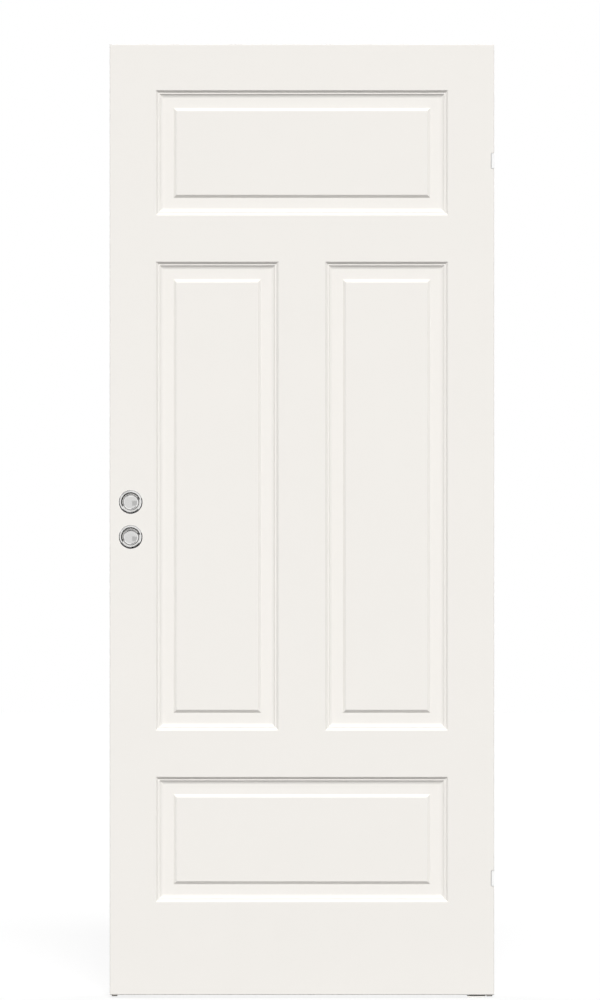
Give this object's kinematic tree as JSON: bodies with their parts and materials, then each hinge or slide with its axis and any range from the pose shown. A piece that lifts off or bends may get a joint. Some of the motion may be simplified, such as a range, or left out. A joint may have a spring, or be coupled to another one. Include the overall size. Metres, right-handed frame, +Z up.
{
  "type": "sliding door",
  "caption": "White moulded panel door leaf with round flush cups, sliding sideways on hidden rollers across a timber lining frame.",
  "frame": {"origin": "on the floor, in the middle of the whole part's width and depth, with the door closed", "axes": "+Z up, +X to the right seen from the front and the way the leaf opens, +Y from the leaf's front face to the frame behind it"},
  "size_m": [0.825, 0.142, 2.046],
  "materials": {
    "leaf_paint": "satin white paint on pressed wood fibre and timber",
    "frame_paint": "satin white paint on boards",
    "timber": "planed pine",
    "core_board": "paper honeycomb",
    "chrome": "polished chrome plating",
    "aluminium": "anodised extrusion",
    "steel": "bright zinc plating",
    "nylon": "black moulded nylon",
    "rubber": "matt black rubber",
    "white_plastic": "white moulded plastic",
    "white_steel": "white powder coat"
  },
  "bodies": {
    "frame": {"jamb_left": "frame_paint", "jamb_right": "frame_paint", "head_lining": "frame_paint", "head_beam": "timber", "frame_screws": "steel", "lining_screws": "steel", "roller_plate": "steel", "plate_screws": "steel", "roller_axles": "steel", "axle_clips": "steel", "guide_bracket": "white_steel", "guide_fin": "nylon", "guide_screws": "steel"},
    "leaf": {"front_skin": "leaf_paint", "rear_skin": "leaf_paint", "stile_left": "leaf_paint", "stile_right": "leaf_paint", "top_rail": "leaf_paint", "bottom_rail": "leaf_paint", "core": "core_board", "pull_front_upper": "chrome", "pull_front_lower": "chrome", "pull_rear_upper": "chrome", "pull_rear_lower": "chrome", "edge_insert_upper": "white_plastic", "edge_insert_lower": "white_plastic", "leaf_track": "aluminium", "track_screws": "steel", "track_stop_left": "aluminium", "track_stop_right": "aluminium", "track_buffer_left": "rubber", "track_buffer_right": "rubber", "track_cap_left": "white_plastic", "track_cap_right": "white_plastic", "stop_screws": "steel", "guide_channel": "aluminium"},
    "roller_1": {"roller_1": "nylon"},
    "roller_2": {"roller_2": "nylon"},
    "roller_3": {"roller_3": "nylon"},
    "roller_4": {"roller_4": "nylon"}
  },
  "joints": [
    {"name": "leaf_slide", "type": "slide", "parent": "frame", "child": "leaf", "axis": [1, 0, 0], "range_m": [0, 0.6294]},
    {"name": "roller_1_spin", "type": "hinge", "parent": "frame", "child": "roller_1", "pos_m": [0.2537, -0.038, 2.0297], "axis": [0, 1, 0], "range_deg": [0, 2700]},
    {"name": "roller_2_spin", "type": "hinge", "parent": "frame", "child": "roller_2", "pos_m": [0.2857, -0.038, 2.0297], "axis": [0, 1, 0], "range_deg": [0, 2700]},
    {"name": "roller_3_spin", "type": "hinge", "parent": "frame", "child": "roller_3", "pos_m": [0.3437, -0.038, 2.0297], "axis": [0, 1, 0], "range_deg": [0, 2700]},
    {"name": "roller_4_spin", "type": "hinge", "parent": "frame", "child": "roller_4", "pos_m": [0.3757, -0.038, 2.0297], "axis": [0, 1, 0], "range_deg": [0, 2700]}
  ],
  "couplings": [
    {"joint": "roller_1_spin", "follows": "leaf_slide", "rad_per_m": 74.074},
    {"joint": "roller_2_spin", "follows": "leaf_slide", "rad_per_m": 74.074},
    {"joint": "roller_3_spin", "follows": "leaf_slide", "rad_per_m": 74.074},
    {"joint": "roller_4_spin", "follows": "leaf_slide", "rad_per_m": 74.074}
  ]
}
